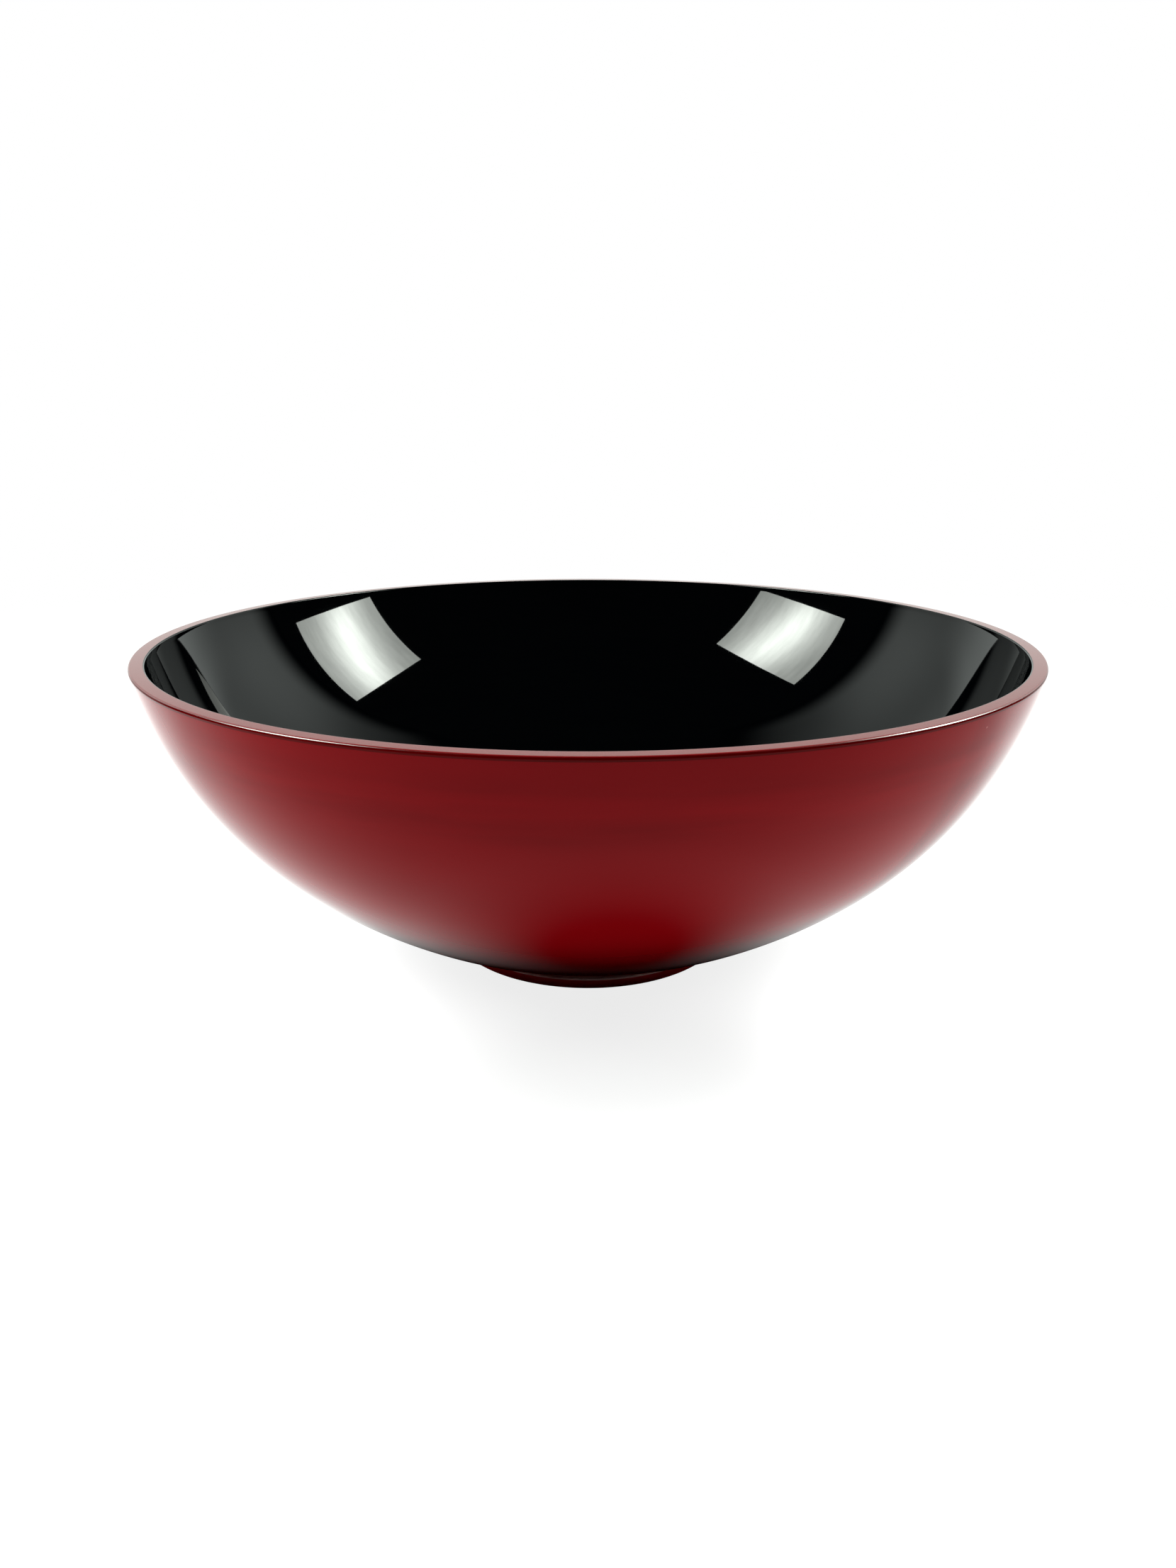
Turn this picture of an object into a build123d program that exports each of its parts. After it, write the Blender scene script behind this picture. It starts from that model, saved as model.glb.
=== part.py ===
"""Turned two-tone bowl: a wooden blank with a foot ring let into its base,
a red lacquer coat outside and over the lip, and a black lacquer lining inside.

Row frame: millimetres, +Z up, origin on the table at the centre of the foot.
Every piece is turned about Z, so each one is drawn as a half section on the XZ
plane, as (radius, level) points, and revolved.
"""

import os
from math import asin, cos, degrees, radians, sin, sqrt, tan

from build123d import *

# ---- driving dimensions ----------------------------------------------------------------
rim_diameter = 300.0       # widest, where the lip meets the outer wall
height = 110.0             # table to lip
coat = 0.5                 # ground and lacquer together, on every lacquered face

# the lip in section: rounded inner edge, flat top, rounded outer edge and a steep narrow face
lip_drop = 0.8             # from the flat top down to the start of the outer wall
inner_round = 0.5          # inner edge of the lip, which the black lining wraps
outer_round = 0.75         # outer edge of the lip, in the red coat
face_slope = 75.0          # narrow face under the outer round, which meets the wall at a crisp line
inner_edge_radius = 145.0  # inner wall where it starts, under the inner round
lip_slope = 77.0           # slope of both walls at the lip, in degrees from level

# the outer wall: two tangent arcs, steep at the lip and shallow at the foot
outer_upper_arc = 130.0
outer_join_slope = 40.0    # slope where the two arcs meet
outer_lower_arc = 183.0
waist_radius = 46.5        # where the wall meets the foot's cove

# the inner wall: an upper arc, then a well whose arc is centred on the axis
inner_upper_arc = 111.0
inner_join_slope = 42.0

# the foot ring
foot_radius = 50.0         # side of the flange
flange_top = 3.8           # level where the flange ends and the cove begins
shoulder_round = 0.6       # round on the flange's upper edge
foot_bore = 42.0           # inner wall of the ring
coat_end = 0.4             # the red coats stop this far above the table
coat_lip = 0.3             # thinned lower edge of the outer coat
foot_chamfer = 0.3         # edges of the bare standing face

# the glued joint: a tongue on the ring stands in a groove in the blank
tongue_radius = 44.6
tongue_top = 8.0
glue_gap = 0.2             # left above the tongue for surplus glue
base_level = 4.8           # underside of the blank inside the ring

# ---- worked out from them --------------------------------------------------------------
rim_radius = rim_diameter / 2
wall_top = height - lip_drop
inner_wall_top = height - inner_round
joint_radius = inner_edge_radius + inner_round
wood_top = height - coat
wood_bevel_start = rim_radius - lip_drop - coat * tan(radians(22.5))

# the flat top ends where the outer round and the narrow face leave room for themselves
face = radians(face_slope)
face_top = height - outer_round * (1 - cos(face))
face_width = (face_top - wall_top) / tan(face)
flat_end = rim_radius - face_width - outer_round * sin(face)

slope = radians(lip_slope)
outer_join = radians(outer_join_slope)
inner_join = radians(inner_join_slope)

# where the outer arcs meet, and the wall's slope and level at the waist
outer_join_radius = rim_radius - outer_upper_arc * (sin(slope) - sin(outer_join))
outer_join_level = wall_top - outer_upper_arc * (cos(outer_join) - cos(slope))
waist = asin(sin(outer_join) - (outer_join_radius - waist_radius) / outer_lower_arc)
waist_level = outer_join_level - outer_lower_arc * (cos(waist) - cos(outer_join))

# the flat seat between blank and ring, where the bare wood of the wall ends
seat_radius = waist_radius - coat * sin(waist)
seat_level = waist_level + coat * cos(waist)

# where the inner arcs meet, and the deepest point of the well
inner_join_radius = inner_edge_radius - inner_upper_arc * (sin(slope) - sin(inner_join))
inner_join_level = inner_wall_top - inner_upper_arc * (cos(inner_join) - cos(slope))
well_arc = inner_join_radius / sin(inner_join)
well_level = inner_join_level - well_arc * (1 - cos(inner_join))

# the cove: an arc that leaves the flange level and rises to the waist
shoulder_radius = foot_radius - shoulder_round
cove_rise = waist_level - flange_top
cove_arc = ((shoulder_radius - waist_radius) ** 2 + cove_rise**2) / (2 * cove_rise)
cove_centre_level = flange_top + cove_arc
wood_cove_arc = cove_arc + coat
wood_flange_top = cove_centre_level - wood_cove_arc
wood_foot_radius = foot_radius - coat
ring_top_radius = shoulder_radius - sqrt(
    wood_cove_arc**2 - (cove_centre_level - seat_level) ** 2
)


# ---- lines that two or more pieces share -----------------------------------------------
def outer_wall(inset):
    """The outer wall from lip to waist, inset below the finished face. Returns its ends."""
    start = (rim_radius - inset * sin(slope), wall_top + inset * cos(slope))
    upper = JernArc(
        start,
        (-cos(slope), -sin(slope)),
        outer_upper_arc - inset,
        outer_join_slope - lip_slope,
    )
    lower = JernArc(
        upper @ 1, upper % 1, outer_lower_arc - inset, degrees(waist) - outer_join_slope
    )
    return start, lower @ 1


def inner_wall(depth):
    """The inner wall from lip to axis, depth behind the finished face. Returns its ends."""
    start = (inner_edge_radius + depth * sin(slope), inner_wall_top - depth * cos(slope))
    upper = JernArc(
        start,
        (-cos(slope), -sin(slope)),
        inner_upper_arc + depth,
        inner_join_slope - lip_slope,
    )
    JernArc(upper @ 1, upper % 1, well_arc + depth, -inner_join_slope)
    return start, (0, well_level - depth)


def cove(top, arc, end):
    """The hollow above the flange, from its shoulder at level top to the point end."""
    reach = shoulder_radius - end[0]
    halfway = asin(reach / arc) / 2
    middle = (
        shoulder_radius - arc * sin(halfway),
        top + arc * (1 - cos(halfway)),
    )
    ThreePointArc((shoulder_radius, top), middle, end)


os.makedirs("parts", exist_ok=True)

# ---- the blank: the wooden bowl under the lacquer --------------------------------------
with BuildPart() as blank:
    with BuildSketch(Plane.XZ):
        with BuildLine():
            wall_start, wall_end = outer_wall(coat)
            inner_start, inner_end = inner_wall(coat)
            Polyline(
                inner_end,
                (0, base_level),
                (foot_bore, base_level),
                (foot_bore, tongue_top + glue_gap),
                (tongue_radius, tongue_top + glue_gap),
                (tongue_radius, seat_level),
                wall_end,
            )
            Polyline(
                wall_start,
                (wood_bevel_start, wood_top),
                (inner_edge_radius + coat, wood_top),
                inner_start,
            )
        make_face()
    revolve(axis=Axis.Z)
blank.part.label = "blank"
export_step(blank.part, "parts/blank.step")

# ---- the foot ring: bare wood, with a tongue that stands in the blank's groove ---------
with BuildPart() as foot_ring:
    with BuildSketch(Plane.XZ):
        with BuildLine():
            cove(wood_flange_top, wood_cove_arc, (ring_top_radius, seat_level))
            Polyline(
                (ring_top_radius, seat_level),
                (tongue_radius, seat_level),
                (tongue_radius, tongue_top),
                (foot_bore, tongue_top),
                (foot_bore, foot_chamfer),
                (foot_bore + foot_chamfer, 0),
                (wood_foot_radius - foot_chamfer, 0),
                (wood_foot_radius, foot_chamfer),
                (wood_foot_radius, wood_flange_top),
                (shoulder_radius, wood_flange_top),
            )
        make_face()
    revolve(axis=Axis.Z)
foot_ring.part.label = "foot_ring"
export_step(foot_ring.part, "parts/foot_ring.step")

# ---- the red coat: the lip's flat top, down the wall and round the foot ------------------
with BuildPart() as red_coat:
    with BuildSketch(Plane.XZ):
        with BuildLine():
            lip_start, waist_end = outer_wall(0)
            wood_start, wood_end = outer_wall(coat)
            Line((joint_radius, height), (flat_end, height))
            edge = JernArc((flat_end, height), (1, 0), outer_round, -face_slope)
            Line(edge @ 1, lip_start)
            Polyline(
                (joint_radius, height),
                (joint_radius, wood_top),
                (wood_bevel_start, wood_top),
                wood_start,
            )
            cove(flange_top, cove_arc, (waist_end.X, waist_end.Y))
            cove(wood_flange_top, wood_cove_arc, (ring_top_radius, seat_level))
            Line((ring_top_radius, seat_level), wood_end)
            CenterArc((shoulder_radius, flange_top - shoulder_round), shoulder_round, 0, 90)
            Polyline(
                (foot_radius, flange_top - shoulder_round),
                (foot_radius, coat_end + coat_lip),
                (foot_radius - coat_lip, coat_end),
                (wood_foot_radius, coat_end),
                (wood_foot_radius, wood_flange_top),
                (shoulder_radius, wood_flange_top),
            )
        make_face()
    revolve(axis=Axis.Z)
red_coat.part.label = "red_coat"
export_step(red_coat.part, "parts/red_coat.step")

# ---- the black lining: the glossy inside, and the round at the lip's inner edge ----------
with BuildPart() as black_lining:
    with BuildSketch(Plane.XZ):
        with BuildLine():
            front_start, front_end = inner_wall(0)
            back_start, back_end = inner_wall(coat)
            Line(front_end, back_end)
            CenterArc((joint_radius, inner_wall_top), inner_round, 90, 90)
            Polyline((joint_radius, height), (joint_radius, wood_top), back_start)
        make_face()
    revolve(axis=Axis.Z)
black_lining.part.label = "black_lining"
export_step(black_lining.part, "parts/black_lining.step")

# ---- the recess coat: a shallow cup of red lacquer inside the foot ring ----------------
with BuildPart() as recess_coat:
    with BuildSketch(Plane.XZ):
        with BuildLine():
            Polyline(
                (0, base_level),
                (0, base_level - coat),
                (foot_bore - coat, base_level - coat),
                (foot_bore - coat, coat_end),
                (foot_bore, coat_end),
                (foot_bore, base_level),
                close=True,
            )
        make_face()
    revolve(axis=Axis.Z)
recess_coat.part.label = "recess_coat"
export_step(recess_coat.part, "parts/recess_coat.step")

for piece in (blank, foot_ring, red_coat, black_lining, recess_coat):
    print(f"{piece.part.label}: {piece.part.volume / 1000:.1f} cm3")
print(f"wall and cove meet at radius {waist_radius:.2f}, level {waist_level:.2f}")
print(f"lowest point of the inside at level {well_level:.2f}")
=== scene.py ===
# %% [markdown]
# # A red and black lacquered bowl
#
# The bowl is built as a turned bowl of pale wood. A low foot ring is glued into its base, and every face
# except the ring's standing face is lacquered: deep red outside, over the lip and in the hollow of the
# foot, and a mirror-bright black inside. Everything here is a solid of revolution, so one Geometry Nodes
# lathe makes all five pieces from their half sections. The rest of the work is in the two lacquers, the
# bare wood and the light that they mirror.

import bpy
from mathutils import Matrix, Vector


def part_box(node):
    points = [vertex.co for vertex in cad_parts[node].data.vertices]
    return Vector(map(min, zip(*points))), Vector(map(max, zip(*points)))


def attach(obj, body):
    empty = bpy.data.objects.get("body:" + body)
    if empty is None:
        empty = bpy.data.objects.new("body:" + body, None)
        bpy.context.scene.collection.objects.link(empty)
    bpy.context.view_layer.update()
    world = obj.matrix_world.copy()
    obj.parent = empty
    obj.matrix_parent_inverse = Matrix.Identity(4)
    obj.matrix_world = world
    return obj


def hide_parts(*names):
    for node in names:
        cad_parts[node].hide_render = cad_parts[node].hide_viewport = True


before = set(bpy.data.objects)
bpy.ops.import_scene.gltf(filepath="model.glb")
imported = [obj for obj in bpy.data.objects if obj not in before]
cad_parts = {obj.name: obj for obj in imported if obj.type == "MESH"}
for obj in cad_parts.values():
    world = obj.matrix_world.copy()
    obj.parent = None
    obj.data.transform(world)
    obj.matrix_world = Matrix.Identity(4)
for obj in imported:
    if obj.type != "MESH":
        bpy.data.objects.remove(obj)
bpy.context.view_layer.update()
print("nodes:", ", ".join(sorted(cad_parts)))

# %% [markdown]
# ## Sizes
#
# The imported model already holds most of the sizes, so they are read from the boxes of its nodes: the rim
# and the height from the red coat, the inner edge and the well from the black lining, and the foot from
# its ring. Only the bends of the walls can't be read from a box. Each wall is two arcs that run smoothly
# into each other, so a slope and a radius say all there is to say about a bend.

# %% Sizes
from math import asin, atan2, cos, degrees, pi, radians, sin, sqrt, tan

import bpy
from mathutils import Quaternion, Vector

MM = 0.001

red_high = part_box("red_coat")[1]
lining_low, lining_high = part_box("black_lining")
blank_low, blank_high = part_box("blank")
ring_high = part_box("foot_ring")[1]
cup_low, cup_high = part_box("recess_coat")

coat = 0.5 * MM
rim_radius = red_high.x
height = red_high.z
joint_radius = lining_high.x
well_level = lining_low.z + coat
wood_top = blank_high.z
base_level = blank_low.z
wood_foot_radius = ring_high.x
foot_radius = wood_foot_radius + coat
tongue_top = ring_high.z
foot_bore = cup_high.x
coat_end = cup_low.z

lip_drop = 0.8 * MM
inner_round = 0.5 * MM
outer_round = 0.75 * MM
face_slope = 75.0
lip_slope = 77.0
outer_upper_arc = 130 * MM
outer_join_slope = 40.0
outer_lower_arc = 183 * MM
waist_radius = 46.5 * MM
inner_upper_arc = 111 * MM
inner_join_slope = 42.0
flange_top = 3.8 * MM
shoulder_round = 0.6 * MM
tongue_radius = 44.6 * MM
glue_gap = 0.2 * MM
foot_chamfer = 0.3 * MM
coat_lip = 0.3 * MM
print(f"rim {rim_radius / MM:.1f}, height {height / MM:.1f}, foot {foot_radius / MM:.1f} mm")

# %% [markdown]
# ## Drawing a half section
#
# A lathe needs half of the piece's cross section, as points of (radius, level). A pencil that knows its
# heading draws it best: straight on to a point, or round an arc of a given radius by a given turn. Two
# arcs drawn one after the other then meet without a corner, as the walls of the bowl do.

# %% The pencil
class Pencil:
    """Draws a half section. Headings and turns are in degrees, counted from outwards towards up."""

    def __init__(self, radius, level, heading=0.0):
        self.points = [(radius, level)]
        self.heading = heading

    def line(self, radius, level):
        last_radius, last_level = self.points[-1]
        self.heading = degrees(atan2(level - last_level, radius - last_radius))
        self.points.append((radius, level))

    def arc(self, radius, turn, step):
        """Bends by turn, to the left if it is positive, with a point every step degrees or less."""
        side = 1 if turn > 0 else -1
        start = radians(self.heading)
        last_radius, last_level = self.points[-1]
        centre_radius = last_radius - side * radius * sin(start)
        centre_level = last_level + side * radius * cos(start)
        count = max(2, round(abs(turn) / step))
        for index in range(1, count + 1):
            angle = start + radians(turn) * index / count
            self.points.append((
                centre_radius + side * radius * sin(angle),
                centre_level - side * radius * cos(angle),
            ))
        self.heading += turn


wall_step = 0.75
round_step = 9.0
print("the walls bend by", wall_step, "degrees a point")

# %% [markdown]
# ## The walls
#
# The lacquer lies half a millimetre thick on the wood, so each wall is drawn twice: once as the finished
# face, and once set back by the coat. Setting an arc back only changes its radius, and leaves its centre
# and its slopes alone.

# %% The walls
slope = radians(lip_slope)
outer_join = radians(outer_join_slope)
wall_top = height - lip_drop
inner_wall_top = height - inner_round
inner_edge_radius = joint_radius - inner_round
outer_join_radius = rim_radius - outer_upper_arc * (sin(slope) - sin(outer_join))
outer_join_level = wall_top - outer_upper_arc * (cos(outer_join) - cos(slope))
waist = asin(sin(outer_join) - (outer_join_radius - waist_radius) / outer_lower_arc)
waist_level = outer_join_level - outer_lower_arc * (cos(waist) - cos(outer_join))
seat_level = waist_level + coat * cos(waist)

inner_join = radians(inner_join_slope)
inner_join_radius = inner_edge_radius - inner_upper_arc * (sin(slope) - sin(inner_join))
well_arc = inner_join_radius / sin(inner_join)


def outer_wall(inset):
    """The outer wall from the lip down to the waist, inset below the finished face."""
    pencil = Pencil(
        rim_radius - inset * sin(slope), wall_top + inset * cos(slope), lip_slope - 180
    )
    pencil.arc(outer_upper_arc - inset, outer_join_slope - lip_slope, wall_step)
    pencil.arc(outer_lower_arc - inset, degrees(waist) - outer_join_slope, wall_step)
    return pencil.points


def inner_wall(depth):
    """The inner wall from the lip down to the axis, depth behind the finished face."""
    pencil = Pencil(
        inner_edge_radius + depth * sin(slope), inner_wall_top - depth * cos(slope), lip_slope - 180
    )
    pencil.arc(inner_upper_arc + depth, inner_join_slope - lip_slope, wall_step)
    pencil.arc(well_arc + depth, -inner_join_slope, wall_step)
    pencil.points[-1] = (0.0, well_level - depth)
    return pencil.points


print(f"waist at {waist_level / MM:.2f} mm, sloping {degrees(waist):.1f} degrees")

# %% [markdown]
# ## The cove above the foot
#
# The foot ring stands a little proud of the wall above it. The hollow between the two is a small arc
# that leaves the flange level and rises to meet the wall at a crisp line, as a gouge leaves it.

# %% The cove
shoulder_radius = foot_radius - shoulder_round
cove_rise = waist_level - flange_top
cove_arc = ((shoulder_radius - waist_radius) ** 2 + cove_rise**2) / (2 * cove_rise)
cove_centre_level = flange_top + cove_arc
wood_flange_top = flange_top - coat


def cove(depth, end_level):
    """The hollow from the flange up to end_level, depth behind the finished face."""
    arc = cove_arc + depth
    turn = degrees(asin(sqrt(arc**2 - (cove_centre_level - end_level) ** 2) / arc))
    pencil = Pencil(shoulder_radius, cove_centre_level - arc, 180.0)
    pencil.arc(arc, -turn, round_step)
    return pencil.points


ring_top_radius = cove(coat, seat_level)[-1][0]
print(f"the ring's wood ends at radius {ring_top_radius / MM:.2f} mm under the wall")

# %% [markdown]
# ## One class for node maths
#
# Both the lathe and the finishes are node trees. Adding and linking nodes by hand hides the maths, so a
# tree's outputs are wrapped in a small class whose operators add Math nodes: `1 - mask * 0.5` then reads
# as it works. Every other node comes from one method, which takes its type, its settings and the values
# or links of its sockets.

# %% Nodes
class Wire:
    """An output of a node, usable in a sum."""

    def __init__(self, bench, socket):
        self.bench = bench
        self.socket = socket

    def maths(self, operation, first, second=0.0, third=0.0):
        made = self.bench.node(
            "ShaderNodeMath", {"operation": operation}, {0: first, 1: second, 2: third}
        )
        return made[0]

    def __add__(self, other):
        return self.maths("ADD", self, other)

    def __radd__(self, other):
        return self.maths("ADD", other, self)

    def __sub__(self, other):
        return self.maths("SUBTRACT", self, other)

    def __rsub__(self, other):
        return self.maths("SUBTRACT", other, self)

    def __mul__(self, other):
        return self.maths("MULTIPLY", self, other)

    def __rmul__(self, other):
        return self.maths("MULTIPLY", other, self)

    def __truediv__(self, other):
        return self.maths("DIVIDE", self, other)

    def __rtruediv__(self, other):
        return self.maths("DIVIDE", other, self)

    def __pow__(self, other):
        return self.maths("POWER", self, other)

    def floor(self):
        return self.maths("FLOOR", self)

    def size(self):
        return self.maths("ABSOLUTE", self)

    def between(self, low, high):
        """0 up to low and 1 from high, with a smooth rise between them. High may be the lower."""
        made = self.bench.node(
            "ShaderNodeMapRange",
            {"interpolation_type": "SMOOTHSTEP"},
            {"Value": self, "From Min": low, "From Max": high, "To Min": 0.0, "To Max": 1.0},
        )
        return made["Result"]


class Made:
    """A node that has been added. Indexing it gives one of its outputs as a Wire."""

    def __init__(self, bench, node):
        self.bench = bench
        self.node = node

    def __getitem__(self, key):
        return Wire(self.bench, self.node.outputs[key])


class Bench:
    """A node tree being built."""

    def __init__(self, tree):
        self.tree = tree

    def node(self, kind, settings=None, sockets=None):
        node = self.tree.nodes.new(kind)
        for name, value in (settings or {}).items():
            setattr(node, name, value)
        for key, value in (sockets or {}).items():
            if isinstance(value, Wire):
                self.tree.links.new(value.socket, node.inputs[key])
            else:
                node.inputs[key].default_value = value
        return Made(self, node)

    def mix(self, factor, first, second):
        """Colour first at factor 0 and second at factor 1."""
        settings = {"data_type": "RGBA"}
        return self.node("ShaderNodeMix", settings, {0: factor, 6: first, 7: second})[2]


print("node helpers ready")

# %% [markdown]
# ## The lathe
#
# The tree lays a flat grid with one column for each point of the section and one row for each step round
# the bowl. Each grid point then looks up its section point and is swung about the Z axis by its row's
# share of a full turn. Welding closes the last row on to the first and gathers each pole to one point.
# Edges that turn sharply are marked sharp, so that the broad walls shade smoothly and the rims stay crisp.

# %% The lathe
def lathe_tree():
    tree = bpy.data.node_groups.new("lathe", "GeometryNodeTree")
    inputs = [
        ("Section", "NodeSocketGeometry"),
        ("Steps round", "NodeSocketInt"),
        ("Weld distance", "NodeSocketFloat"),
        ("Sharp above", "NodeSocketFloat"),
        ("Finish", "NodeSocketMaterial"),
    ]
    for name, kind in inputs:
        tree.interface.new_socket(name, in_out="INPUT", socket_type=kind)
    tree.interface.new_socket("Turned piece", in_out="OUTPUT", socket_type="NodeSocketGeometry")

    bench = Bench(tree)
    given = bench.node("NodeGroupInput")
    section, steps = given["Section"], given["Steps round"]
    count = bench.node("GeometryNodeAttributeDomainSize", {}, {"Geometry": section})["Point Count"]
    grid = bench.node(
        "GeometryNodeMeshGrid", {}, {"Vertices X": count, "Vertices Y": steps + 1}
    )["Mesh"]

    index = bench.node("GeometryNodeInputIndex")["Index"]
    column = (index / (steps + 1) + 0.0001).floor()
    row = index - column * (steps + 1)
    point = bench.node(
        "GeometryNodeSampleIndex",
        {"data_type": "FLOAT_VECTOR"},
        {
            "Geometry": section,
            "Value": bench.node("GeometryNodeInputPosition")["Position"],
            "Index": column,
        },
    )["Value"]
    swung = bench.node(
        "ShaderNodeVectorRotate",
        {"rotation_type": "Z_AXIS"},
        {"Vector": point, "Angle": row * (2 * pi) / steps},
    )["Vector"]
    turned = bench.node("GeometryNodeSetPosition", {}, {"Geometry": grid, "Position": swung})
    welded = bench.node(
        "GeometryNodeMergeByDistance",
        {},
        {"Geometry": turned["Geometry"], "Distance": given["Weld distance"]},
    )
    smooth = bench.node(
        "GeometryNodeSetShadeSmooth", {}, {"Geometry": welded["Geometry"], "Shade Smooth": True}
    )
    angle = bench.node("GeometryNodeInputMeshEdgeAngle")["Unsigned Angle"]
    sharp = bench.node(
        "FunctionNodeCompare", {"operation": "GREATER_THAN"}, {0: angle, 1: given["Sharp above"]}
    )["Result"]
    creased = bench.node(
        "GeometryNodeSetShadeSmooth",
        {"domain": "EDGE"},
        {"Geometry": smooth["Geometry"], "Selection": sharp, "Shade Smooth": False},
    )
    real = bench.node("GeometryNodeRealizeInstances", {}, {"Geometry": creased["Geometry"]})
    finished = bench.node(
        "GeometryNodeSetMaterial", {}, {"Geometry": real["Geometry"], "Material": given["Finish"]}
    )
    bench.node("NodeGroupOutput", {}, {"Turned piece": finished["Geometry"]})
    return tree


lathe = lathe_tree()
print("the lathe has", len(lathe.nodes), "nodes")

# %% [markdown]
# ## Turning a piece
#
# A section becomes a mesh of points joined in a row, the lathe is put on it as a modifier, and the result
# is kept as a plain mesh. The piece then rides on the bowl's one body and stands in for its CAD node,
# which is hidden.

# %% Turning
steps_round = 360
weld_distance = 0.002 * MM
sharp_above = 25.0


def turned_piece(name, section, finish, node):
    wire = bpy.data.meshes.new(name + "_section")
    corners = [(radius, 0.0, level) for radius, level in section]
    wire.from_pydata(corners, [(i, i + 1) for i in range(len(corners) - 1)], [])
    section_piece = bpy.data.objects.new(name + "_section", wire)
    bpy.context.collection.objects.link(section_piece)

    modifier = section_piece.modifiers.new("lathe", "NODES")
    modifier.node_group = lathe
    values = {
        "Steps round": steps_round,
        "Weld distance": weld_distance,
        "Sharp above": radians(sharp_above),
        "Finish": finish,
    }
    for socket in lathe.interface.items_tree:
        if socket.in_out == "INPUT" and socket.name in values:
            modifier[socket.identifier] = values[socket.name]

    seen = section_piece.evaluated_get(bpy.context.evaluated_depsgraph_get())
    mesh = bpy.data.meshes.new_from_object(seen)
    mesh.name = name
    bpy.data.objects.remove(section_piece)
    piece = bpy.data.objects.new(name, mesh)
    bpy.context.collection.objects.link(piece)
    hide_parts(node)
    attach(piece, "root")
    print(f"{name}: {len(mesh.vertices)} points, {len(mesh.polygons)} faces")
    return piece


print(steps_round, "steps round")

# %% [markdown]
# ## Red lacquer
#
# The outside is a deep red with a weak gloss, and white light whitens it only where it is seen at a
# grazing angle. The colour lies in faint clouds drawn out round the bowl by the turning. Light and shade
# are painted on top of that: lighter and darker streaks in a band below the lip as painted light, painted
# shade that darkens the wall towards the foot, a dark line of painted shade on the narrow face under the
# lip's outer edge, and a paler lip top as a painted reflection. The flange of the foot is painted a
# lighter red for the light that falls on it, with a painted highlight in places along its upper edge. Only
# the lip and the foot have a clear coat. A few specks of dust sit in the lacquer. Distances come from
# Object coordinates in metres, so the pattern has the bowl's own scale.

# %% Red lacquer
def new_finish(name):
    """A material with an empty tree, its bench, and the Object coordinates as one Wire."""
    material = bpy.data.materials.new(name)
    material.use_nodes = True
    material.node_tree.nodes.clear()
    bench = Bench(material.node_tree)
    return material, bench, bench.node("ShaderNodeTexCoord")["Object"]


def split_up(bench, place):
    """The three coordinates of place, as Wires."""
    split = bench.node("ShaderNodeSeparateXYZ", {}, {0: place})
    return split["X"], split["Y"], split["Z"]


def close_finish(bench, sockets):
    """Ends a tree with a Principled shader that has these values and links."""
    shader = bench.node("ShaderNodeBsdfPrincipled", {}, sockets)
    bench.node("ShaderNodeOutputMaterial", {}, {"Surface": shader["BSDF"]})


def close_glow(bench, colour, strength):
    """Ends a tree with a shader that only gives off light."""
    glow = bench.node("ShaderNodeEmission", {}, {"Color": colour, "Strength": strength})
    bench.node("ShaderNodeOutputMaterial", {}, {"Surface": glow["Emission"]})


def bumps(bench, distance, heights, strength=1.0):
    """A bump normal for these heights, which stand for this distance in metres."""
    settings = {"Strength": strength, "Distance": distance, "Height": heights}
    return bench.node("ShaderNodeBump", {}, settings)["Normal"]


def dots(bench, place, scale, inner, outer):
    """Round dots scattered at one to a cell, solid within inner and gone at outer."""
    cells = bench.node("ShaderNodeTexVoronoi", {"feature": "F1"}, {"Vector": place, "Scale": scale})
    return cells["Distance"].between(outer, inner)


def stretched(bench, place, across, up):
    """Object coordinates scaled by across in X and Y, and by up in Z."""
    return bench.node(
        "ShaderNodeMapping", {}, {"Vector": place, "Scale": (across, across, up)}
    )["Vector"]


def noise(bench, vector, scale, detail=2.0, roughness=0.5):
    return bench.node(
        "ShaderNodeTexNoise",
        {},
        {"Vector": vector, "Scale": scale, "Detail": detail, "Roughness": roughness},
    )["Fac"]


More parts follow.
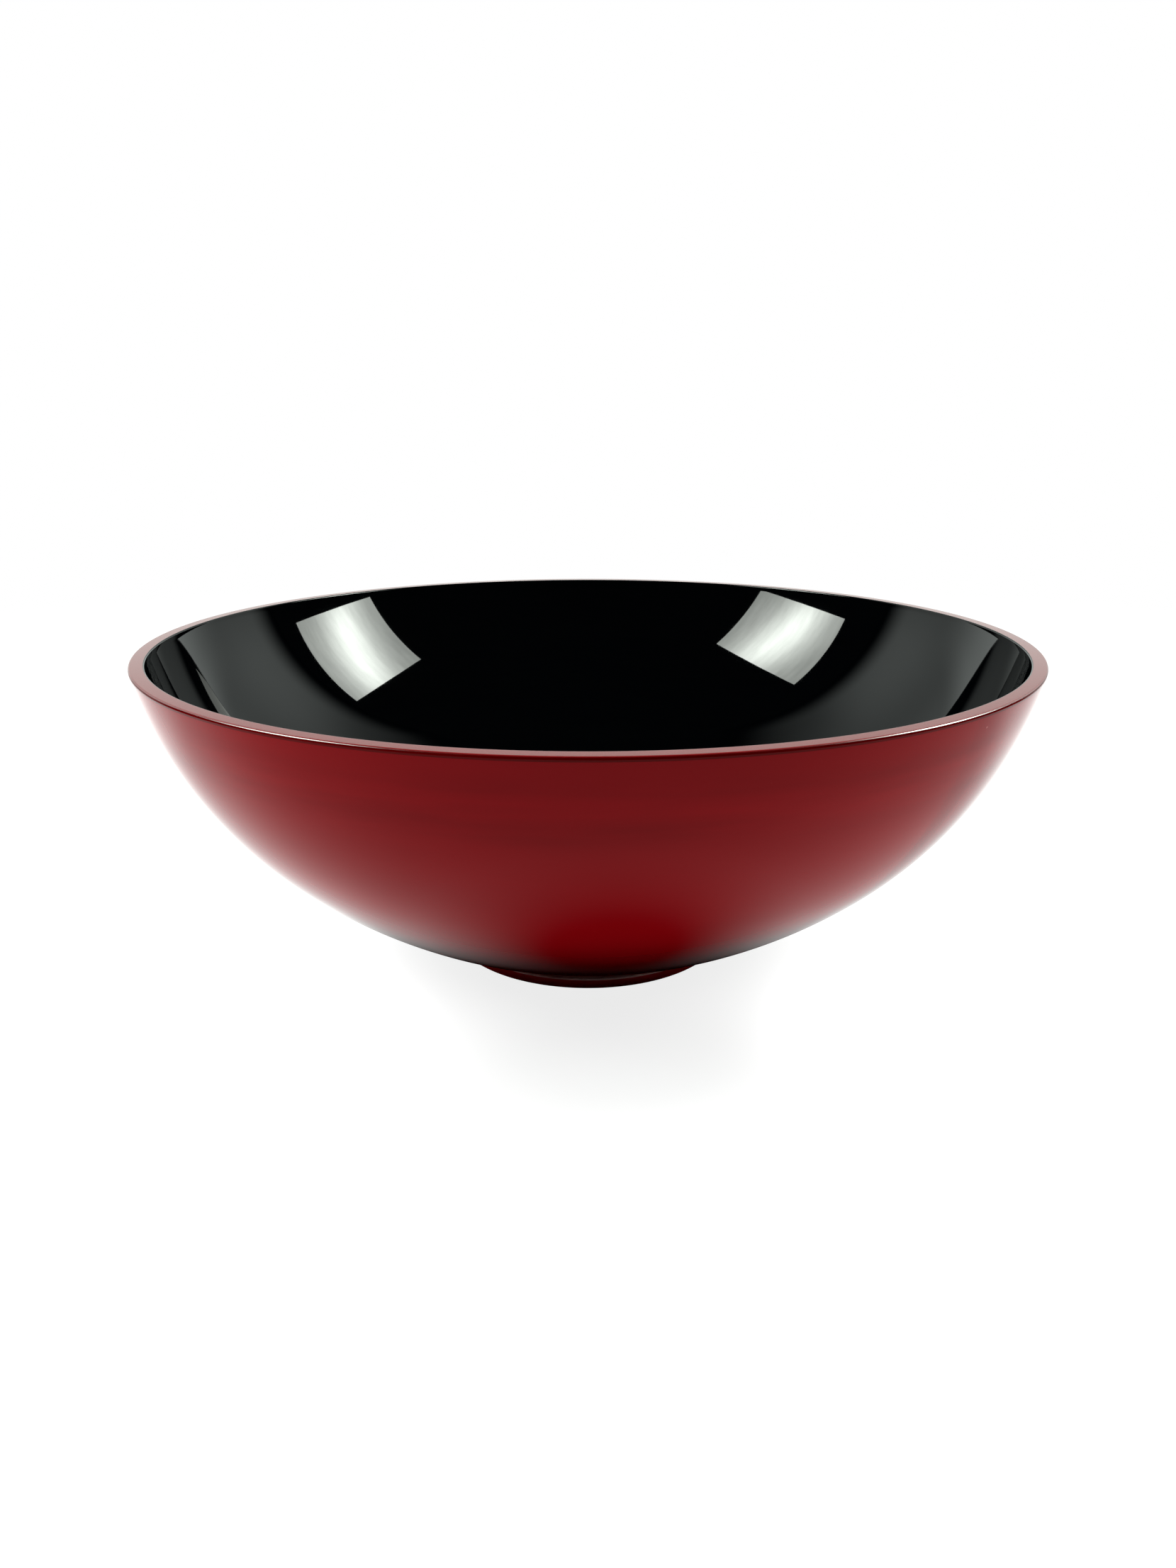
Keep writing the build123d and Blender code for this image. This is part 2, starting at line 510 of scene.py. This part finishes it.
def red_lacquer():
    material, bench, place = new_finish("red_lacquer")
    z = split_up(bench, place)[2]

    # the wall: faint clouds of tone, a band of painted light and shade streaks below the lip, and painted
    # shade that darkens it towards the foot
    clouds = noise(bench, stretched(bench, place, 1.0, 4.0), 11.0, 3.0)
    painted_light_streaks = noise(bench, stretched(bench, place, 1.0, 9.0), 9.0, 3.0)
    painted_light_band = z.between(80 * MM, 92 * MM) * z.between(107 * MM, 98 * MM)
    painted_foot_shade = z.between(60 * MM, 12 * MM)
    tone_and_painted_light = 0.72 + (clouds - 0.5) * 0.4 + painted_light_band * (painted_light_streaks - 0.55) * 1.6 - painted_foot_shade * 1.2
    wall = bench.mix(tone_and_painted_light, (0.110, 0.0003, 0.0011, 1), (0.250, 0.0014, 0.0042, 1))

    # painted shade as a dark line under the lip's outer edge, painted light that makes the foot's flange a
    # lighter red, and a painted reflection that makes the lip's flat top paler
    painted_dark_line = z.between(108.60 * MM, 108.68 * MM) * z.between(109.80 * MM, 109.70 * MM)
    flange = z.between(4.2 * MM, 3.9 * MM)
    top = z.between(109.85 * MM, 109.96 * MM)
    lined = bench.mix(painted_dark_line * 0.95, wall, (0.090, 0.0002, 0.0004, 1))
    flange_painted_lighter = bench.mix(flange, lined, (0.42, 0.004, 0.008, 1))
    with_painted_lip_reflection = bench.mix(top, flange_painted_lighter, (0.28, 0.022, 0.022, 1))

    # a painted highlight in patches along the flange's upper edge, and dust
    painted_flange_highlight = z.between(3.1 * MM, 3.5 * MM) * flange
    highlight_patches = noise(bench, place, 16.0, 2.0).between(0.35, 0.65)
    with_painted_flange_highlight = bench.mix(painted_flange_highlight * (0.3 + highlight_patches * 0.6), with_painted_lip_reflection, (0.90, 0.60, 0.55, 1))
    chance = noise(bench, place, 60.0, 0.0).between(0.62, 0.64)
    specks = dots(bench, place, 120.0, 0.02, 0.05) * chance
    colour = bench.mix(specks * 0.5, with_painted_flange_highlight, (0.45, 0.10, 0.08, 1))

    haze = noise(bench, stretched(bench, place, 1.0, 2.5), 9.0, 2.0)
    skin = noise(bench, place, 420.0, 1.0)
    swell = noise(bench, place, 45.0, 1.0)
    polished = z.between(109.64 * MM, 109.72 * MM) + z.between(5.0 * MM, 4.2 * MM) * 0.5
    close_finish(bench, {
        "Base Color": colour,
        "Roughness": 0.08 + haze * 0.06,
        "Specular IOR Level": 0.06,
        "Coat Weight": polished,
        "Coat Roughness": 0.22,
        "Coat IOR": 1.8,
        "Normal": bumps(bench, 0.012 * MM, skin * 0.25 + swell + specks * 2.0),
    })
    return material


red = red_lacquer()
print("red lacquer:", len(red.node_tree.nodes), "nodes")

# %% [markdown]
# ## Black lacquer
#
# Inside, the last coats are rubbed and polished until they mirror the room. Almost no light comes from
# the colour itself, so the finish lives in its surface: very smooth, with a slow swell that makes the
# edges of a mirrored lamp waver slightly, faint rings left by polishing on the lathe, and a few pits.

# %% Black lacquer
def black_lacquer():
    material, bench, place = new_finish("black_lacquer")
    swell = noise(bench, place, 22.0, 1.0)
    rings = noise(bench, stretched(bench, place, 1.0, 9.0), 40.0, 2.0)
    chance = noise(bench, place, 31.0, 0.0).between(0.60, 0.62)
    pits = dots(bench, place, 55.0, 0.02, 0.06) * chance
    near_black = (0.0003, 0.0005, 0.0008, 1)
    lighter = (0.0009, 0.0012, 0.0015, 1)
    close_finish(bench, {
        "Base Color": bench.mix(rings * 0.5 + pits, near_black, lighter),
        "Roughness": 0.012 + rings * 0.02,
        "Normal": bumps(bench, 0.02 * MM, swell + rings * 0.05 - pits * 3.0),
    })
    return material


black = black_lacquer()
print("black lacquer:", len(black.node_tree.nodes), "nodes")

# %% [markdown]
# ## Bare wood
#
# Only the standing face of the foot ring shows the wood. It is a pale, even-grained wood like linden, with
# the grain lying level, so the growth rings cross the foot as nearly straight bands, with fine pores drawn
# out along them.

# %% Wood
def wood():
    material, bench, place = new_finish("wood")
    wander = noise(bench, place, 9.0, 2.0)
    y, z = split_up(bench, place)[1:]
    across = y + z * 0.35 + wander * (12 * MM)
    phase = bench.node("ShaderNodeCombineXYZ", {}, {"X": across})["Vector"]
    years = bench.node(
        "ShaderNodeTexWave",
        {"wave_type": "BANDS", "bands_direction": "X", "wave_profile": "SAW"},
        {"Vector": phase, "Scale": 70.0, "Distortion": 0.6, "Detail": 2.0, "Detail Scale": 3.0},
    )["Fac"]
    drawn_out = bench.node("ShaderNodeMapping", {}, {"Vector": place, "Scale": (8.0, 260.0, 260.0)})
    fibres = noise(bench, drawn_out["Vector"], 6.0, 3.0)
    plain = bench.mix(years, (0.58, 0.41, 0.24, 1), (0.44, 0.28, 0.14, 1))
    close_finish(bench, {
        "Base Color": bench.mix(fibres.between(0.45, 0.75) * 0.35, plain, (0.33, 0.20, 0.10, 1)),
        "Roughness": 0.58 + fibres * 0.2,
        "Specular IOR Level": 0.4,
        "Normal": bumps(bench, 0.08 * MM, fibres + years * 0.3, 0.6),
    })
    return material


linden = wood()
print("wood:", len(linden.node_tree.nodes), "nodes")

# %% [markdown]
# ## The blank
#
# The blank is the wooden bowl itself, hidden under the lacquer. A square groove under its base takes the
# foot ring's tongue.

# %% The blank
wood_bevel_start = rim_radius - lip_drop - coat * tan(radians(22.5))
outer_wood = outer_wall(coat)
inner_wood = inner_wall(coat)

blank_section = [
    (0.0, base_level),
    (foot_bore, base_level),
    (foot_bore, tongue_top + glue_gap),
    (tongue_radius, tongue_top + glue_gap),
    (tongue_radius, seat_level),
    *reversed(outer_wood),
    (wood_bevel_start, wood_top),
    (joint_radius, wood_top),
    *inner_wood,
]
turned_piece("bowl_blank", blank_section, linden, "blank")

# %% [markdown]
# ## The foot ring
#
# The ring is a separate turning: a tongue that stands in the blank's groove, a cove and a flange outside,
# and a flat face below with its two edges eased, so that they don't splinter.

# %% The foot ring
ring_section = [
    (foot_bore + foot_chamfer, 0.0),
    (wood_foot_radius - foot_chamfer, 0.0),
    (wood_foot_radius, foot_chamfer),
    (wood_foot_radius, wood_flange_top),
    *cove(coat, seat_level),
    (tongue_radius, seat_level),
    (tongue_radius, tongue_top),
    (foot_bore, tongue_top),
    (foot_bore, foot_chamfer),
    (foot_bore + foot_chamfer, 0.0),
]
turned_piece("foot_ring_wood", ring_section, linden, "foot_ring")

# %% [markdown]
# ## The red coat
#
# The red lacquer is one skin: over the lip's flat top, down the wall, round the cove and the flange, and
# back along the wood. The lip's outer edge is rounded over, and below the round a steep narrow face ends
# at a crisp line where the wall starts. That round is what catches a lamp as a bright thread along the
# lip, and the narrow face under it, which leans back and mirrors only the dark, reads as a dark line; the
# red finish also paints that face darker, as painted shade.

# %% The red coat
face = radians(face_slope)
face_top = height - outer_round * (1 - cos(face))
face_width = (face_top - wall_top) / tan(face)
flat_end = rim_radius - face_width - outer_round * sin(face)
crisp_round = 0.12 * MM  # takes the knife edge off the line where the face meets the wall

lip = Pencil(joint_radius, height)
lip.line(flat_end, height)
lip.arc(outer_round, -face_slope, round_step / 2)
corner_turn = 180 - face_slope - lip_slope
setback = crisp_round * tan(radians(corner_turn / 2))
lip.line(rim_radius - setback * cos(face), wall_top + setback * sin(face))
lip.arc(crisp_round, -corner_turn, round_step)
outer_red = outer_wall(0.0)

shoulder = Pencil(foot_radius, flange_top - shoulder_round, 90.0)
shoulder.arc(shoulder_round, 90, round_step)
red_section = [
    *lip.points,
    *outer_red[1:],
    *reversed(cove(0.0, waist_level)[:-1]),
    *reversed(shoulder.points[:-1]),
    (foot_radius, coat_end + coat_lip),
    (foot_radius - coat_lip, coat_end),
    (wood_foot_radius, coat_end),
    (wood_foot_radius, wood_flange_top),
    *cove(coat, seat_level),
    *reversed(outer_wood),
    (wood_bevel_start, wood_top),
    (joint_radius, wood_top),
    (joint_radius, height),
]
turned_piece("red_lacquer_coat", red_section, red, "red_coat")

# %% [markdown]
# ## The black lining
#
# The lining runs from the middle of the well up to the lip and wraps its inner edge, where the red coat
# meets it on the flat top. Seen along the wall, that rounded edge shines as a pale bead.

# %% The black lining
bead = Pencil(joint_radius, height, 180.0)
bead.arc(inner_round, 90, round_step)
lining_section = [
    *bead.points,
    *inner_wall(0.0)[1:],
    *reversed(inner_wood),
    (joint_radius, wood_top),
    (joint_radius, height),
]
turned_piece("black_lacquer_lining", lining_section, black, "black_lining")

# %% [markdown]
# ## The coat in the foot's recess
#
# Turned over, the bowl shows a shallow red hollow inside the ring. The lacquer pools a little where the
# side meets the bottom, so that corner is an arc.

# %% The recess
pool_round = 0.8 * MM
recess = Pencil(0.0, base_level - coat, 0.0)
recess.line(foot_bore - coat - pool_round, base_level - coat)
recess.arc(pool_round, -90, round_step)
recess_section = [
    *recess.points,
    (foot_bore - coat, coat_end),
    (foot_bore, coat_end),
    (foot_bore, base_level),
    (0.0, base_level),
]
turned_piece("recess_lacquer", recess_section, red, "recess_coat")

# %% [markdown]
# ## The studio
#
# A glossy bowl shows its surroundings more than itself, so the light is a set of plain things for it to
# mirror: a pale floor, a glowing table, curved paper behind, a large softbox on each side, and darkness in
# front and above. The floor is all that the camera sees of them.

# %% The floor
def stage_piece(name, corners, faces, material):
    """An object that belongs to the stage, and not to the bowl."""
    mesh = bpy.data.meshes.new(name)
    mesh.from_pydata(corners, [], faces)
    mesh.materials.append(material)
    made = bpy.data.objects.new(name, mesh)
    bpy.context.collection.objects.link(made)
    return made


floor_fade = (0.42, 0.95)
floor_half = 1.0


def floor_paper():
    """Matte paper that fades out with distance, so that no horizon shows."""
    material, bench, place = new_finish("floor_paper")
    x, y = split_up(bench, place)[:2]
    radius = (x * x + y * y) ** 0.5
    paper = bench.node(
        "ShaderNodeBsdfPrincipled",
        {},
        {
            "Base Color": (0.20, 0.195, 0.20, 1),
            "Roughness": 1.0,
            "Specular IOR Level": 0.0,
            "Emission Color": (1, 1, 1, 1),
            "Emission Strength": 0.82,
        },
    )
    clear = bench.node("ShaderNodeBsdfTransparent")
    both = bench.node(
        "ShaderNodeMixShader",
        {},
        {0: radius.between(*floor_fade), 1: paper["BSDF"], 2: clear["BSDF"]},
    )
    bench.node("ShaderNodeOutputMaterial", {}, {"Surface": both["Shader"]})
    return material


def level_sheet(name, half_x, half_y, material):
    """A flat stage object about its own centre."""
    corners = [(-half_x, -half_y, 0), (half_x, -half_y, 0), (half_x, half_y, 0), (-half_x, half_y, 0)]
    return stage_piece(name, corners, [(0, 1, 2, 3)], material)


def unseen_by(piece, *rays):
    """Hides a stage object from these kinds of ray: camera, diffuse, glossy or shadow."""
    for ray in rays:
        setattr(piece, "visible_" + ray, False)


floor = level_sheet("floor", floor_half, floor_half, floor_paper())
unseen_by(floor, "glossy", "diffuse")
print("floor fades out between", *floor_fade, "m")

# %% [markdown]
# The bowl's red wall leans out over the table, so the table gives it most of its light and is all that it
# can mirror. Two glowing sheets stand in for that table, one seen only in gloss and one only by matte
# colour. Both are dark round the foot and in front of it, where the bowl keeps its own shade, and brighter
# beside the bowl. The one that lights the colour also has a small pool of light on each side.

# %% The table's light
table_half = 2.0
table_level = 1.2


def table_light(name, far, pools):
    """A table that glows at table_level near the bowl and at far beyond it, with pools of light."""
    material, bench, place = new_finish(name)
    x, y = split_up(bench, place)[:2]
    radius = (x * x + y * y) ** 0.5

    # the shade round the foot, and a round patch of it in front
    aside = (x - 0.010) / 0.070
    ahead = (y + 0.090) / 0.070
    shade = radius.between(0.055, 0.105) * ((aside * aside + ahead * ahead) ** 0.5).between(0.3, 1.2)

    # the brighter parts beside the bowl
    left = x.between(-0.04, -0.11) * y.between(-0.15, -0.02) * 0.6
    far_left = x.between(-0.20, -0.32) * y.between(0.0, 0.08) * 0.35
    right = x.between(0.10, 0.30) * y.between(-0.02, 0.10) * 0.7
    beside = x.size() - 0.125
    near = y + 0.085
    pool = ((beside * beside + near * near) ** 0.5).between(0.09, 0.02) * pools

    base = far + radius.between(0.40, 0.20) * (table_level - far)
    level = shade * (base + left + far_left + right + pool)
    close_glow(bench, (1, 0.985, 0.97, 1), level)
    return material


def table(name, far, pools, unseen):
    made = level_sheet(name, table_half, table_half, table_light(name, far, pools))
    unseen_by(made, "camera", "shadow", unseen)


table("mirrored_table", table_level, 0.0, "diffuse")
table("lighting_table", 0.9, 2.6, "glossy")
print("the bowl sees a pale table")

# %% [markdown]
# The paper behind the bowl curves round it. The softboxes spill on to its two ends, so it is brightest
# there, and it fades towards the top. The bowl mirrors it, and the camera sees past it.

# %% The paper behind
paper_radius = 1.5
paper_middle = -3.5
paper_reach = 71.0
paper_foot = -0.05
paper_height = 3.2


def backdrop_paper():
    material, bench, place = new_finish("backdrop_paper")
    x, y, z = split_up(bench, place)
    azimuth = x.maths("ARCTAN2", x, y) * (180 / pi)
    aside = (azimuth - paper_middle).size()
    rise = z / paper_radius
    spill = aside.between(32, 60) * rise.between(0.02, 0.42) * rise.between(1.1, 0.5)
    low = aside.between(48, 26) * rise.between(0.33, 0.20)
    level = (0.52 + spill * 0.5 + low * 0.45) * aside.between(paper_reach - 1, 61)
    close_glow(bench, (0.92, 1, 0.96, 1), level * rise.between(1.9, 0.65))
    return material


def curved_paper(name, steps, material):
    corners, faces = [], []
    for index in range(steps + 1):
        azimuth = radians(paper_middle + paper_reach * (2 * index / steps - 1))
        x, y = paper_radius * sin(azimuth), paper_radius * cos(azimuth)
        corners += [(x, y, paper_foot), (x, y, paper_height)]
        if index:
            last = 2 * index
            faces.append((last - 2, last, last + 1, last - 1))
    return stage_piece(name, corners, faces, material)


backdrop = curved_paper("backdrop", 48, backdrop_paper())
unseen_by(backdrop, "camera")
print("backdrop", paper_radius, "m behind the bowl")

# %% [markdown]
# A large softbox stands on each side, above the bowl. Its lamp is in the middle, so its cloth glows
# brightest along an upright stripe that leans a little, and the cloth hangs in faint folds.

# %% Softboxes
lamp_level = 26.0
cloth_level = 5.5
softbox_distance = 1.0


def softbox_face(name, width, height):
    """A glowing face, brightest along its upright middle, with faint folds in its cloth."""
    material, bench, place = new_finish(name)
    x, y = split_up(bench, place)[:2]
    x, y = x / (width / 2), y / (height / 2)
    lean = x + y * 0.18
    spread = lean * lean * 4.2 + y * y * 0.4
    lamp = (lamp_level - cloth_level) / (1 + spread * spread * 0.6 + spread)
    slant = bench.node(
        "ShaderNodeMapping",
        {},
        {"Vector": place, "Rotation": (0, 0, radians(12)), "Scale": (7.0, 1.3, 1.0)},
    )["Vector"]
    folds = noise(bench, slant, 3.2, 3.0, 0.6)
    front = 1 - bench.node("ShaderNodeNewGeometry")["Backfacing"]
    close_glow(bench, (0.94, 1, 0.93, 1), (cloth_level + lamp) * (0.72 + folds * 0.56) * front)
    return material


def softbox(name, aim, azimuth, elevation, width, height, roll):
    """A glowing panel that faces aim, seen from there at this azimuth from +Y and elevation."""
    across = cos(radians(elevation))
    towards = Vector((
        across * sin(radians(azimuth)), across * cos(radians(azimuth)), sin(radians(elevation))
    ))
    panel = level_sheet(name, width / 2, height / 2, softbox_face(name, width, height))
    panel.location = Vector(aim) + towards * softbox_distance
    facing = (-towards).to_track_quat("Z", "Y") @ Quaternion((0, 0, 1), radians(roll))
    panel.rotation_euler = facing.to_euler()
    unseen_by(panel, "camera")


softbox("right_softbox", (-0.099, 0.094, 0.087), 92.5, 29.5, 0.48, 0.43, 0.0)
softbox("left_softbox", (0.086, 0.108, 0.090), -108.0, 30.7, 0.52, 0.405, 5.0)
print("softboxes", softbox_distance, "m from the bowl")

# %% [markdown]
# ## The world
#
# Above and in front of the bowl the studio is dark, which keeps the black lining black. The camera itself
# sees pale paper wherever it looks past the floor, from any side.

# %% The world
world = bpy.data.worlds.new("studio")
bpy.context.scene.world = world
world.use_nodes = True
world.node_tree.nodes.clear()
room = Bench(world.node_tree)
seen = room.node("ShaderNodeLightPath")["Is Camera Ray"]
dark = room.node("ShaderNodeBackground", {}, {"Color": (0.9, 0.95, 1, 1), "Strength": 0.004})
pale = room.node("ShaderNodeBackground", {}, {"Color": (1, 1, 1, 1), "Strength": 1.0})
both = room.node(
    "ShaderNodeMixShader", {}, {0: seen, 1: dark["Background"], 2: pale["Background"]}
)
room.node("ShaderNodeOutputWorld", {}, {"Surface": both["Shader"]})
bpy.context.scene.view_settings.view_transform = "Standard"
print("world: dark room, pale paper")

# %% [markdown]
# ## The camera
#
# The bowl is seen from close by and a little above, straight from the front: a wide lens near the rim,
# which makes the near side of the lip sweep forward and shows the inside and the outside at once.

# %% The camera
camera_back = 2.702
camera_up = 0.494
camera_tilt = 17.5

camera_data = bpy.data.cameras.new("camera")
camera_data.sensor_width = 36.0
camera_data.lens = 27.03
camera = bpy.data.objects.new("camera", camera_data)
camera.location = (0.0, -camera_back * rim_radius, height + camera_up * rim_radius)
camera.rotation_euler = (radians(90 - camera_tilt), 0.0, 0.0)
bpy.context.collection.objects.link(camera)
bpy.context.scene.camera = camera
print("camera at", [round(value, 4) for value in camera.location])
